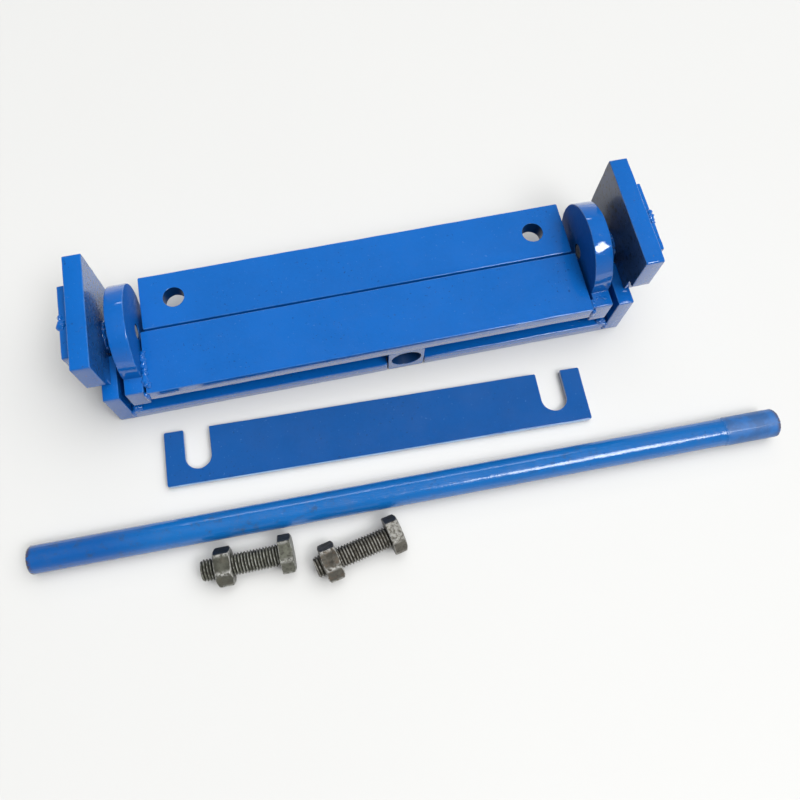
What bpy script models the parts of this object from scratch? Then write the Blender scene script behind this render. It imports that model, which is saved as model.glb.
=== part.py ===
"""Small bench sheet metal brake, 300 mm, laid out with its loose clamp bar, lever bar and bolts.

World frame: metres, +Z up, z = 0 at the underside of the base plate and at the surface the loose pieces
lie on.  X runs along the bend line, y = 0 is the bend line itself, and -Y is the operator's side.
"""
import math

import bmesh
import bpy
from mathutils import Matrix, Vector

MM = 0.001

# ---- driving dimensions, millimetres -------------------------------------------------------------------
WORK_TOP = 42.0            # working surface above the base underside; the hinge axis lies in this plane
CLEAR = 0.3                # paint gap kept between pieces that touch
EDGE = 0.7                 # radius ground on the plate edges

LEAF_LENGTH = 300.0
LEAF_WIDTH = 44.2
LEAF_THICK = 12.0
BEND_GAP = 1.4             # slot between the leaf and the bed, centred on the bend line

BED_LENGTH = 296.0
BED_WIDTH = 39.0
BED_THICK = 12.0
BOLT_HOLE = 14.4           # clearance hole for an M14 clamp bolt
BOLT_HOLE_X = 125.3
BOLT_HOLE_Y = 20.7

HINGE_PLATE_IN = 151.6     # inner face of each hinge plate, from the middle of the brake
HINGE_PLATE_THICK = 12.2
HINGE_PLATE_R = 32.6       # round head, concentric with the pin
TAIL_FRONT = 43.4
TAIL_DEPTH = 21.7

PIN_R = 5.0
PIN_BORE_R = 5.3
COLLAR_R = 8.2

SIDE_IN = {"left": 171.5, "right": 174.2}      # inner face of each side plate, from the middle of the brake
SIDE_THICK = 12.2
SIDE_FRONT = 38.9          # ends of the side plate's head, ahead of the bend line and behind it
SIDE_BACK = 39.6
SIDE_TOP = 44.0            # top of the side plate above the working surface
SIDE_LIP = 12.0            # underside of the head's front corner above the working surface
SIDE_NECK_FRONT = 34.0     # front of the neck that rests on the foot

PAD_THICK = 7.6            # reinforcing pad outside each side plate
PAD_HALF = 25.3
PAD_TOP = 33.0
PAD_BOTTOM = -13.6

FOOT_IN = 167.7
FOOT_THICK = 10.5
FRONT = 44.4               # front faces of base, feet and socket, ahead of the bend line
FOOT_BACK = 13.5
FOOT_TOP = 41.7

BASE_THICK = 11.2
BASE_BACK = 28.0
BASE_HALF = 148.0
ARM_FRONT_BACK = 17.0      # back edge of the front arms that pass under the hinge plate tails
ARM_REAR_FRONT = 16.0      # front edge of the rear arms that reach the side plates
WEB_FRONT = 1.0
WEB_THICK = 7.0

SOCKET_X = 22.6            # the handle socket sits right of the middle
SOCKET_WIDTH = 25.2
SOCKET_BACK = 10.4
SOCKET_LIFT = 0.6
SOCKET_BORE_R = 10.3
SOCKET_BORE_Z = 16.2
NOTCH_GAP = 0.6

BAR_LENGTH = 289.7
BAR_WIDTH = 37.9
BAR_THICK = 6.0
SLOT_X = 122.7
SLOT_WIDTH = 17.4
SLOT_DEPTH = 28.2
BAR_PLACE = (-5.4, -84.8)
BAR_TURN = -0.0327

HANDLE_R = 9.5
HANDLE_LENGTH = 497.6
HANDLE_PLACE = (7.9, -133.0)
HANDLE_TURN = -0.0136

BOLT_FLATS = 22.0          # M14 x 50, fully threaded, head 8.8 thick
BOLT_HEAD = 8.8
BOLT_SHANK = 50.0
SHANK_R = 6.7
NUT_THICK = 11.0
NUT_BORE_R = 7.1
# for each bolt: where the head's inner face lies, its turn on the table, and how far along the nut starts
BOLTS = {"left": ((-84.1, -157.7), 0.007, 30.2), "right": ((-14.2, -160.2), 0.205, 34.2)}

ROUND_STEPS = 40


# ---- tools ---------------------------------------------------------------------------------------------
def material(name, color, rough, metallic):
    mat = bpy.data.materials.new(name)
    mat.use_nodes = True
    shader = mat.node_tree.nodes["Principled BSDF"]
    shader.inputs["Base Color"].default_value = (*color, 1.0)
    shader.inputs["Roughness"].default_value = rough
    shader.inputs["Metallic"].default_value = metallic
    return mat


def blue_paint(name):
    return material(name, (0.02, 0.16, 0.58), 0.3, 0.0)


def bare_steel(name):
    return material(name, (0.16, 0.155, 0.15), 0.45, 0.9)


def arc(cx, cy, radius, start, end, steps):
    """Points of an arc, both ends included, angles in degrees."""
    turn = [math.radians(start + (end - start) * i / steps) for i in range(steps + 1)]
    return [(cx + radius * math.cos(a), cy + radius * math.sin(a)) for a in turn]


def circle(cx, cy, radius):
    """Closed outline of a circle, ROUND_STEPS points, the first not repeated."""
    return arc(cx, cy, radius, 0, 360 - 360 / ROUND_STEPS, ROUND_STEPS - 1)


def add_object(name, bm, mat):
    bmesh.ops.recalc_face_normals(bm, faces=bm.faces)
    mesh = bpy.data.meshes.new(name)
    bm.to_mesh(mesh)
    bm.free()
    mesh.shade_smooth()
    mesh.set_sharp_from_angle(angle=math.radians(35))
    obj = bpy.data.objects.new(name, mesh)
    bpy.context.scene.collection.objects.link(obj)
    if mat is not None:
        mesh.materials.append(mat)
    return obj


def prism(outline, low, high, to_world):
    """Closed prism on a flat outline (mm); to_world(u, v, w) gives a point in mm, w from low to high."""
    bm = bmesh.new()
    face = bm.faces.new([bm.verts.new(Vector(to_world(u, v, low)) * MM) for u, v in outline])
    path = (Vector(to_world(0, 0, high)) - Vector(to_world(0, 0, low))) * MM
    top = bmesh.ops.extrude_face_region(bm, geom=[face])
    moved = [v for v in top["geom"] if isinstance(v, bmesh.types.BMVert)]
    bmesh.ops.translate(bm, verts=moved, vec=path)
    return bm


def plan(u, v, w):
    return (u, v, w)


def profile(u, v, w):
    return (w, u, v)


def front_view(u, v, w):
    return (u, w, v)


def rectangle(u0, u1, v0, v1):
    return [(u0, v0), (u1, v0), (u1, v1), (u0, v1)]


def cutter(name, bm):
    obj = add_object(name, bm, None)
    obj.hide_render = True
    obj.display_type = "WIRE"
    return obj


def cut(obj, tool):
    mod = obj.modifiers.new("cut_" + tool.name, "BOOLEAN")
    mod.operation = "DIFFERENCE"
    mod.solver = "EXACT"
    mod.object = tool


def round_edges(obj, width=EDGE, segments=2):
    mod = obj.modifiers.new("ground_edges", "BEVEL")
    mod.width = width * MM
    mod.segments = segments
    mod.limit_method = "ANGLE"
    mod.angle_limit = math.radians(50)


def x_span(side, inner, thick):
    """X range of a plate whose inner face is `inner` from the middle; side is -1 (left) or 1 (right)."""
    return (inner, inner + thick) if side > 0 else (-inner - thick, -inner)


def place(obj, x, y, z, turn=0.0):
    """Set an object down in the world at a point in millimetres, turned about Z."""
    obj.location = (x * MM, y * MM, z * MM)
    obj.rotation_euler = (0, 0, turn)


SIDES = {"left": -1, "right": 1}


# ---- fixed base ----------------------------------------------------------------------------------------
def make_bed_plate():
    half = BED_LENGTH / 2
    y0 = BEND_GAP / 2
    outline = rectangle(-half, half, y0, y0 + BED_WIDTH)
    slab = prism(outline, WORK_TOP - BED_THICK, WORK_TOP, plan)
    bed = add_object("bed_plate", slab, blue_paint("bed_paint"))
    for side, sign in SIDES.items():
        hole = circle(sign * BOLT_HOLE_X, BOLT_HOLE_Y, BOLT_HOLE / 2)
        drill = prism(hole, WORK_TOP - 2 * BED_THICK, WORK_TOP + BED_THICK, plan)
        cut(bed, cutter("bolt_hole_cutter_" + side, drill))
    round_edges(bed)


def make_bed_web():
    half = BASE_HALF - 2
    outline = rectangle(-half, half, WEB_FRONT, WEB_FRONT + WEB_THICK)
    low = BASE_THICK + CLEAR
    high = WORK_TOP - BED_THICK - CLEAR
    add_object("bed_web", prism(outline, low, high, plan), blue_paint("web_paint"))


def base_outline():
    """H-shaped plate: four arms reach round the hinge plates, and a notch at the front clears the socket."""
    notch_l = SOCKET_X - SOCKET_WIDTH / 2 - NOTCH_GAP
    notch_r = SOCKET_X + SOCKET_WIDTH / 2 + NOTCH_GAP
    notch_back = -SOCKET_BACK + NOTCH_GAP
    front_arm = FOOT_IN - CLEAR
    rear_left, rear_right = SIDE_IN["left"] - CLEAR, SIDE_IN["right"] - CLEAR
    return [
        (-front_arm, -FRONT), (notch_l, -FRONT), (notch_l, notch_back), (notch_r, notch_back),
        (notch_r, -FRONT), (front_arm, -FRONT), (front_arm, -ARM_FRONT_BACK), (BASE_HALF, -ARM_FRONT_BACK),
        (BASE_HALF, ARM_REAR_FRONT), (rear_right, ARM_REAR_FRONT), (rear_right, BASE_BACK),
        (-rear_left, BASE_BACK), (-rear_left, ARM_REAR_FRONT), (-BASE_HALF, ARM_REAR_FRONT),
        (-BASE_HALF, -ARM_FRONT_BACK), (-front_arm, -ARM_FRONT_BACK),
    ]


def make_base_plate():
    base = add_object("base_plate", prism(base_outline(), 0, BASE_THICK, plan), blue_paint("base_paint"))
    round_edges(base, 0.5)


def make_foot(side, sign):
    outline = rectangle(-FRONT, -FOOT_BACK, 0, FOOT_TOP)
    low, high = x_span(sign, FOOT_IN, FOOT_THICK)
    foot = add_object("foot_" + side, prism(outline, low, high, profile), blue_paint("foot_paint_" + side))
    round_edges(foot)


def side_outline():
    """Side plate seen from the end: broad head, a neck that rests on the foot, and a leg behind the foot."""
    head = WORK_TOP + SIDE_TOP
    lip = WORK_TOP + SIDE_LIP
    on_foot = FOOT_TOP + CLEAR
    behind_foot = -FOOT_BACK + CLEAR
    return [
        (-SIDE_FRONT, head), (-SIDE_FRONT, lip), (-SIDE_NECK_FRONT, lip), (-SIDE_NECK_FRONT, on_foot),
        (behind_foot, on_foot), (behind_foot, 0), (SIDE_BACK, 0), (SIDE_BACK, head),
    ]


def pin_hole(name, sign, inner, thick, radius):
    low, high = x_span(sign, inner - thick, 3 * thick)
    ring = circle(0, WORK_TOP, radius)
    return cutter(name, prism(ring, low, high, profile))


def make_side_plate(side, sign):
    low, high = x_span(sign, SIDE_IN[side], SIDE_THICK)
    plate = add_object("side_plate_" + side, prism(side_outline(), low, high, profile),
                       blue_paint("side_paint_" + side))
    cut(plate, pin_hole("side_bore_cutter_" + side, sign, SIDE_IN[side], SIDE_THICK, PIN_BORE_R))
    round_edges(plate)


def make_pad(side, sign):
    inner = SIDE_IN[side] + SIDE_THICK + CLEAR
    outline = rectangle(-PAD_HALF, PAD_HALF, WORK_TOP + PAD_BOTTOM, WORK_TOP + PAD_TOP)
    low, high = x_span(sign, inner, PAD_THICK)
    pad = add_object("pin_pad_" + side, prism(outline, low, high, profile), blue_paint("pad_paint_" + side))
    cut(pad, pin_hole("pad_bore_cutter_" + side, sign, inner, PAD_THICK, PIN_BORE_R))
    round_edges(pad)


def make_pin(side, sign):
    inner = HINGE_PLATE_IN + 0.6
    outer = SIDE_IN[side] + SIDE_THICK + CLEAR + PAD_THICK + 0.6
    low, high = x_span(sign, inner, outer - inner)
    ring = circle(0, 0, PIN_R)
    pin = add_object("hinge_pin_" + side, prism(ring, low, high, profile), bare_steel("pin_steel_" + side))
    place(pin, 0, 0, WORK_TOP)
    round_edges(pin, 0.5, 1)


def make_collar(side, sign):
    inner = HINGE_PLATE_IN + HINGE_PLATE_THICK + 0.4
    length = SIDE_IN[side] - CLEAR - inner
    low, high = x_span(sign, inner, length)
    ring = circle(0, WORK_TOP, COLLAR_R)
    tube = prism(ring, low, high, profile)
    collar = add_object("pin_collar_" + side, tube, blue_paint("collar_paint_" + side))
    cut(collar, pin_hole("collar_bore_cutter_" + side, sign, inner, length, PIN_BORE_R))


# ---- bending leaf, turning about the hinge axis ----------------------------------------------------------
def leaf_axis():
    """Empty on the hinge axis; every piece of the leaf hangs from it."""
    axis = bpy.data.objects.new("leaf_axis", None)
    bpy.context.scene.collection.objects.link(axis)
    place(axis, 0, 0, WORK_TOP)
    return axis


def hang_on(axis, obj):
    obj.parent = axis
    obj.matrix_parent_inverse = Matrix.Translation(-axis.location)


def make_leaf_plate(axis):
    half = LEAF_LENGTH / 2
    y1 = -BEND_GAP / 2
    outline = rectangle(-half, half, y1 - LEAF_WIDTH, y1)
    slab = prism(outline, WORK_TOP - LEAF_THICK, WORK_TOP, plan)
    leaf = add_object("leaf_plate", slab, blue_paint("leaf_paint"))
    round_edges(leaf)
    hang_on(axis, leaf)


def hinge_outline():
    """Round head on the pin with a flat-topped tail running forward beside the leaf."""
    under = math.degrees(math.asin(TAIL_DEPTH / HINGE_PLATE_R))
    head = arc(0, WORK_TOP, HINGE_PLATE_R, 180 + under, 360 + 180, 44)
    return [(-TAIL_FRONT, WORK_TOP), (-TAIL_FRONT, WORK_TOP - TAIL_DEPTH)] + head


def make_hinge_plate(side, sign, axis):
    low, high = x_span(sign, HINGE_PLATE_IN, HINGE_PLATE_THICK)
    plate = add_object("hinge_plate_" + side, prism(hinge_outline(), low, high, profile),
                       blue_paint("hinge_paint_" + side))
    cut(plate, pin_hole("hinge_bore_cutter_" + side, sign, HINGE_PLATE_IN, HINGE_PLATE_THICK, PIN_BORE_R))
    round_edges(plate)
    hang_on(axis, plate)


def make_handle_socket(axis):
    half = SOCKET_WIDTH / 2
    top = WORK_TOP - LEAF_THICK - CLEAR
    outline = rectangle(SOCKET_X - half, SOCKET_X + half, SOCKET_LIFT, top)
    socket = add_object("handle_socket", prism(outline, -FRONT, -SOCKET_BACK, front_view),
                        blue_paint("socket_paint"))
    ring = circle(SOCKET_X, SOCKET_BORE_Z, SOCKET_BORE_R)
    cut(socket, cutter("socket_bore_cutter", prism(ring, -2 * FRONT, 0, front_view)))
    round_edges(socket, 0.5)
    hang_on(axis, socket)


# ---- loose kit -----------------------------------------------------------------------------------------
def clamp_outline():
    """Bar with an open U-slot near each end; the slot mouths are in the back edge."""
    half_l = BAR_LENGTH / 2
    half_w = BAR_WIDTH / 2
    r = SLOT_WIDTH / 2
    floor = half_w - SLOT_DEPTH + r
    points = [(-half_l, -half_w), (half_l, -half_w), (half_l, half_w)]
    for x in (SLOT_X, -SLOT_X):
        points += [(x + r, half_w)] + arc(x, floor, r, 0, -180, 24) + [(x - r, half_w)]
    return points + [(-half_l, half_w)]


def make_clamp_bar():
    bar = add_object("clamp_bar", prism(clamp_outline(), 0, BAR_THICK, plan), blue_paint("clamp_paint"))
    round_edges(bar, 0.5)
    place(bar, *BAR_PLACE, 0, BAR_TURN)


def make_handle_bar():
    ring = circle(0, 0, HANDLE_R)
    half = HANDLE_LENGTH / 2
    bar = add_object("handle_bar", prism(ring, -half, half, profile), blue_paint("handle_paint"))
    round_edges(bar, 1.0, 2)
    place(bar, *HANDLE_PLACE, HANDLE_R, HANDLE_TURN)


def hexagon():
    """Hexagon across BOLT_FLATS with a flat at the bottom, in the (y, z) plane of the bolt."""
    corner = BOLT_FLATS / math.sqrt(3)
    turns = [math.radians(60 * k) for k in range(6)]
    return [(corner * math.cos(a), corner * math.sin(a)) for a in turns]


def make_bolt(side, spot, turn):
    """Hexagon head from x = 0 to +BOLT_HEAD, threaded shank running to -X."""
    head = prism(hexagon(), 0, BOLT_HEAD, profile)
    ring = circle(0, 0, SHANK_R)
    bolt = add_object("clamp_bolt_" + side, head, bare_steel("bolt_steel_" + side))
    shank = cutter("shank_shape_" + side, prism(ring, -BOLT_SHANK, BOLT_HEAD / 2, profile))
    mod = bolt.modifiers.new("shank", "BOOLEAN")
    mod.operation = "UNION"
    mod.solver = "EXACT"
    mod.object = shank
    for obj in (bolt, shank):
        place(obj, *spot, BOLT_FLATS / 2, turn)


def make_nut(side, spot, turn, along):
    nut = add_object("clamp_nut_" + side, prism(hexagon(), -along - NUT_THICK, -along, profile),
                     bare_steel("nut_steel_" + side))
    ring = circle(0, 0, NUT_BORE_R)
    tool = cutter("nut_bore_cutter_" + side, prism(ring, -along - 2 * NUT_THICK, -along + NUT_THICK, profile))
    for obj in (nut, tool):
        place(obj, *spot, BOLT_FLATS / 2, turn)
    cut(nut, tool)


# ---- the whole brake -----------------------------------------------------------------------------------
for old in list(bpy.data.objects):
    bpy.data.objects.remove(old, do_unlink=True)

make_bed_plate()
make_bed_web()
make_base_plate()
axis = leaf_axis()
make_leaf_plate(axis)
make_handle_socket(axis)
for side, sign in SIDES.items():
    make_foot(side, sign)
    make_side_plate(side, sign)
    make_pad(side, sign)
    make_pin(side, sign)
    make_collar(side, sign)
    make_hinge_plate(side, sign, axis)
make_clamp_bar()
make_handle_bar()
for side, (spot, turn, along) in BOLTS.items():
    make_bolt(side, spot, turn)
    make_nut(side, spot, turn, along)
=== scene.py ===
"""Small sheet metal brake laid out with its loose clamp bar, lever bar and two clamp bolts.

Sizes are in millimetres, and each piece is placed from the box of the solid that it stands for.
"""
import math

import bpy
import numpy as np
from mathutils.geometry import tessellate_polygon
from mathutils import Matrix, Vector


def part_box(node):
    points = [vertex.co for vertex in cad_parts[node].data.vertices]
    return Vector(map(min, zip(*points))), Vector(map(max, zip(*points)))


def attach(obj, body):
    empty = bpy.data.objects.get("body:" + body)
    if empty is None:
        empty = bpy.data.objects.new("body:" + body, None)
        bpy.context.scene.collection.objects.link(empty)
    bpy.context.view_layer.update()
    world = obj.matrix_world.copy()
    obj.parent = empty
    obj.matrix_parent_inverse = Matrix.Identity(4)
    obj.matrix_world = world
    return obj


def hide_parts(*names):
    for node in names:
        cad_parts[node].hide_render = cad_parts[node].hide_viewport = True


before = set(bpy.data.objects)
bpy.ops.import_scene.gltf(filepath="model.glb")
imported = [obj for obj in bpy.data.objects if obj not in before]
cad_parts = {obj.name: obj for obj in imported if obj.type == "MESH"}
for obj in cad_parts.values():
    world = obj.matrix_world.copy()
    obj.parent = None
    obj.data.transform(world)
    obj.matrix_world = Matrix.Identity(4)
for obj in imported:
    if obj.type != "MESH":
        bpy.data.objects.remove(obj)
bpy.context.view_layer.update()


# A soft key light stands to the front right, and a long low one behind: the two lines of light along the
# lever bar are their reflections.
TABLE_HALF = 3.0
KEY_WATTS, KEY_SIZE, KEY_AWAY = 36.0, (1.1, 0.9), 3.2
KEY_TURN, KEY_LIFT = math.radians(140), math.radians(58)
BACK_WATTS, BACK_SIZE, BACK_AWAY = 4.4, (1.67, 0.23), 3.0
BACK_TURN, BACK_LIFT = math.radians(4), math.radians(42)
OVERHEAD = (0.30, -0.02, 0.954)
ROOM_DIM, ROOM_BRIGHT, WALL, BACKDROP = 0.10, 3.85, 0.42, 0.88
DIM_BELOW, BRIGHT_ABOVE = 0.68, 0.95
WALL_FOOT, WALL_TOP = 0.05, 0.62
LENS, LENS_SHIFT = 36.17, (0.0377, -0.0435)
CAMERA_AT = (-0.03983, -0.23844, 0.5314)
CAMERA_TURN = (math.radians(20.981), math.radians(0.239), math.radians(-11.327))


def table_top(half, cells=24):
    """Flat square grid: x and y run from -half to half and z is nought."""
    s = np.linspace(-half, half, cells + 1)
    x, y = np.meshgrid(s, s, indexing="ij")
    verts = np.stack([x, y, np.zeros_like(x)], -1).reshape(-1, 3)
    i = np.arange(cells * (cells + 1)).reshape(cells, cells + 1)[:, :-1]
    faces = np.stack([i, i + cells + 1, i + cells + 2, i + 1], -1).reshape(-1, 4)
    mesh = bpy.data.meshes.new("table_top")
    mesh.from_pydata(verts.tolist(), [], faces.tolist())
    obj = bpy.data.objects.new("table_top", mesh)
    bpy.context.scene.collection.objects.link(obj)
    return obj


def table_paint():
    """Matt white laminate with a hardly visible cloudiness."""
    mat = bpy.data.materials.new("white_laminate")
    mat.use_nodes = True
    nodes, links = mat.node_tree.nodes, mat.node_tree.links
    shader = nodes["Principled BSDF"]
    shader.inputs["Roughness"].default_value = 0.55
    shader.inputs["Specular IOR Level"].default_value = 0.25
    coord = nodes.new("ShaderNodeTexCoord")
    cloud = nodes.new("ShaderNodeTexNoise")
    cloud.inputs["Scale"].default_value = 3.0
    ramp = nodes.new("ShaderNodeValToRGB")
    ramp.color_ramp.elements[0].color = (0.572, 0.573, 0.570, 1)
    ramp.color_ramp.elements[1].color = (0.588, 0.588, 0.586, 1)
    links.new(coord.outputs["Object"], cloud.inputs["Vector"])
    links.new(cloud.outputs["Fac"], ramp.inputs["Fac"])
    links.new(ramp.outputs["Color"], shader.inputs["Base Color"])
    return mat


def aim(obj, turn, lift, away, at=(0, -0.06, 0)):
    """Puts obj away from a point, turned from +Y towards +X and lifted, with its -Z axis at the point."""
    back = np.array([math.sin(turn) * math.cos(lift), math.cos(turn) * math.cos(lift), math.sin(lift)])
    obj.location = np.array(at) + back * away
    obj.rotation_euler = (math.pi / 2 - lift, 0, math.pi - turn)


def soft_light(name, watts, size, turn, lift, away):
    lamp = bpy.data.lights.new(name, "AREA")
    lamp.shape = "RECTANGLE"
    lamp.size, lamp.size_y = size
    lamp.energy = watts
    obj = bpy.data.objects.new(name, lamp)
    bpy.context.scene.collection.objects.link(obj)
    aim(obj, turn, lift, away)


def room_light():
    """Wide soft light overhead and to the right: brightness rises with the cosine of the angle from its
    middle. A diffuser keeps it out of the gloss, which mirrors pale walls and a dim ceiling instead, and the
    backdrop is seen as pale."""
    world = bpy.data.worlds.new("room")
    bpy.context.scene.world = world
    world.use_nodes = True
    nodes, links = world.node_tree.nodes, world.node_tree.links
    coord = nodes.new("ShaderNodeTexCoord")
    towards = nodes.new("ShaderNodeVectorMath")
    towards.operation = "DOT_PRODUCT"
    towards.inputs[1].default_value = OVERHEAD
    rise = nodes.new("ShaderNodeMapRange")
    for socket, number in (("From Min", DIM_BELOW), ("From Max", BRIGHT_ABOVE),
                           ("To Min", ROOM_DIM), ("To Max", ROOM_BRIGHT)):
        rise.inputs[socket].default_value = number
    height = nodes.new("ShaderNodeSeparateXYZ")
    wall = nodes.new("ShaderNodeMapRange")
    for socket, number in (("From Min", WALL_FOOT), ("From Max", WALL_TOP),
                           ("To Min", WALL), ("To Max", ROOM_DIM)):
        wall.inputs[socket].default_value = number
    links.new(coord.outputs["Generated"], towards.inputs[0])
    links.new(coord.outputs["Generated"], height.inputs[0])
    links.new(towards.outputs["Value"], rise.inputs["Value"])
    links.new(height.outputs["Z"], wall.inputs["Value"])
    ray = nodes.new("ShaderNodeLightPath")
    strength = rise.outputs["Result"]
    for kind, value in (("Is Glossy Ray", wall.outputs["Result"]), ("Is Camera Ray", BACKDROP)):
        swap = nodes.new("ShaderNodeMix")
        swap.data_type = "FLOAT"
        links.new(ray.outputs[kind], swap.inputs[0])
        links.new(strength, swap.inputs[2])
        if isinstance(value, float):
            swap.inputs[3].default_value = value
        else:
            links.new(value, swap.inputs[3])
        strength = swap.outputs[0]
    links.new(strength, nodes["Background"].inputs["Strength"])
    nodes["Background"].inputs["Color"].default_value = (1.0, 1.0, 0.985, 1)


table = table_top(TABLE_HALF)
table.data.materials.append(table_paint())
room_light()
soft_light("key_light", KEY_WATTS, KEY_SIZE, KEY_TURN, KEY_LIFT, KEY_AWAY)
soft_light("back_light", BACK_WATTS, BACK_SIZE, BACK_TURN, BACK_LIFT, BACK_AWAY)

lens = bpy.data.cameras.new("camera")
lens.sensor_width = 36.0
lens.lens = LENS
lens.shift_x, lens.shift_y = LENS_SHIFT
lens.clip_start = 0.01
camera = bpy.data.objects.new("camera", lens)
camera.location = CAMERA_AT
camera.rotation_euler = CAMERA_TURN
bpy.context.scene.collection.objects.link(camera)
bpy.context.scene.camera = camera
bpy.context.scene.view_settings.view_transform = "Standard"


# ---- bed plate -------------------------------------------------------------------------------------------
# The fixed half of the working surface: 12 mm hot-rolled flat bar, sawn to length, its edges dressed with a
# grinder, drilled twice for the clamp bolts and sprayed with glossy blue enamel after welding.
MM = 0.001
ENAMEL = (0.0028, 0.101, 0.398)
BED_EDGE = 0.6
BOLT_HOLE_R = 7.2
BOLT_HOLE_X = 125.3
BOLT_HOLE_Y = 20.7
DRY_ROUGH = 0.42


def span(node):
    """Lowest and highest corner of a solid, in millimetres."""
    low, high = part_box(node)
    return np.array(low) / MM, np.array(high) / MM


def arc(cx, cy, radius, start, end, count):
    """Points at equal angles on an arc, in degrees from start to end, both included."""
    a = np.radians(np.linspace(start, end, count))
    return np.stack([cx + radius * np.cos(a), cy + radius * np.sin(a)], -1)


def round_corner(before, corner, after, radius, count=7):
    """Arc tangent to both sides of a corner: its centre is on the bisector, radius / sin(half angle) away."""
    p, c, n = (np.array(v, float) for v in (before, corner, after))
    a, b = (p - c) / np.linalg.norm(p - c), (n - c) / np.linalg.norm(n - c)
    half = math.acos(np.clip(a @ b, -1, 1)) / 2
    bisector = (a + b) / np.linalg.norm(a + b)
    centre = c + bisector * radius / math.sin(half)
    start, end = c + a * radius / math.tan(half) - centre, c + b * radius / math.tan(half) - centre
    t = np.linspace(0, 1, count)[:, None]
    sweep = math.pi - 2 * half
    return centre + (np.sin((1 - t) * sweep) * start + np.sin(t * sweep) * end) / math.sin(sweep)


def outline(corners, step=4.0):
    """Closed outline from runs: a corner (u, v, radius) becomes an arc, an array of points is kept as it is,
    and straight stretches are cut into steps of equal length."""
    heads = [c if isinstance(c, np.ndarray) else np.array([c[:2]]) for c in corners]
    runs = []
    for k, c in enumerate(corners):
        if isinstance(c, np.ndarray):
            runs.append(c)
        else:
            runs.append(round_corner(heads[k - 1][-1], c[:2], heads[(k + 1) % len(heads)][0], c[2]))
    pieces = []
    for run, follower in zip(runs, runs[1:] + runs[:1]):
        gap = follower[0] - run[-1]
        cuts = max(1, int(np.linalg.norm(gap) / step))
        pieces += [run, run[-1] + gap * (np.arange(1, cuts)[:, None] / cuts)]
    return np.concatenate(pieces)


def rectangle(low_u, low_v, high_u, high_v, corner):
    """Outline of a rectangle with equal rounded corners."""
    corners = [(low_u, low_v), (high_u, low_v), (high_u, high_v), (low_u, high_v)]
    return outline([(*c, corner) for c in corners])


def wander(count, seed, waves=10):
    """Smooth closed random curve about nought: sines with whole numbers of waves and random phases."""
    rng = np.random.default_rng(seed)
    t = np.linspace(0, 2 * np.pi, count, endpoint=False)[:, None]
    return np.sin(rng.integers(2, 36, waves) * t + rng.uniform(0, 6.28, waves)).sum(1) / waves ** 0.5


def rim(loop, low, high, edge, seed):
    """Edge of a plate on a grid: one parameter runs round the outline, the other from the under face round
    the lower edge, up the side and over the upper edge. Both edges are quarter circles, and their radius and
    the side itself wander a little, as ground edges do."""
    ahead = np.roll(loop, -1, 0) - np.roll(loop, 1, 0)
    out = np.stack([ahead[:, 1], -ahead[:, 0]], -1) / np.linalg.norm(ahead, axis=1)[:, None]
    a = np.radians(np.linspace(0, 90, 5))[:, None]
    radius = edge * (1 + 0.22 * wander(len(loop), seed))[None, :]
    inset = np.concatenate([radius * (1 - np.sin(a)), radius * (1 - np.cos(a))])
    height = np.concatenate([low + radius * (1 - np.cos(a)), high - radius * (1 - np.sin(a))])
    inset = inset + 0.03 * wander(len(loop), seed + 1)[None, :]
    flat = loop[None] - inset[..., None] * out[None]
    wear_and_painted_light = np.sin(np.radians(np.r_[np.linspace(0, 180, 5), np.linspace(0, 180, 5)]))
    return np.concatenate([flat, height[..., None]], -1), np.repeat(wear_and_painted_light, len(loop))


def grid_faces(rows, columns, closed=True):
    """Quads between neighbouring rows and columns; a closed grid joins its last column to its first."""
    i = np.arange(rows - 1)[:, None] * columns
    j = np.arange(columns if closed else columns - 1)[None, :]
    k = (j + 1) % columns
    return np.stack([i + j, i + k, i + columns + k, i + columns + j], -1).reshape(-1, 4)


def flat_face(loops, starts, up):
    """Triangles that fill the flat between an outer loop and its holes, all facing up or all down."""
    fill = tessellate_polygon([[(x, y, 0.0) for x, y in loop] for loop in loops])
    tri = np.array(fill)
    where = np.concatenate(loops)
    a, b, c = (where[tri[:, k]] for k in range(3))
    area = (b[:, 0] - a[:, 0]) * (c[:, 1] - a[:, 1]) - (b[:, 1] - a[:, 1]) * (c[:, 0] - a[:, 0])
    wrong = area < 0 if up else area > 0
    tri[wrong] = tri[wrong][:, ::-1]
    index = np.concatenate([start + np.arange(len(loop)) for start, loop in zip(starts, loops)])
    return index[tri]


FACING = {"z": [0, 1, 2], "x": [2, 0, 1], "y": [1, 2, 0]}


def set_down(points, turn, x, y):
    """Points turned about Z by an angle and then moved along the table."""
    c, s = math.cos(turn), math.sin(turn)
    px, py = points[:, 0] * c - points[:, 1] * s + x, points[:, 0] * s + points[:, 1] * c + y
    return np.stack([px, py, points[:, 2]], -1)


def new_piece(name, verts, faces, smooth, wear_and_painted_light, mat, body, slot, stands_for=()):
    """A mesh in metres from points in millimetres, with its attribute of wear and painted light, material and
    body.
    """
    mesh = bpy.data.meshes.new(name)
    mesh.from_pydata((np.asarray(verts) * MM).tolist(), [], [list(map(int, f)) for f in faces])
    mesh.polygons.foreach_set("use_smooth", np.asarray(smooth, bool))
    mesh.attributes.new("wear_and_painted_light", "FLOAT", "POINT").data.foreach_set("value", np.asarray(wear_and_painted_light, np.float32))
    mesh.materials.append(mat)
    mesh.update()
    obj = bpy.data.objects.new(name, mesh)
    bpy.context.scene.collection.objects.link(obj)
    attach(obj, body)
    if stands_for:
        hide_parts(*stands_for)
    return obj


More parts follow.
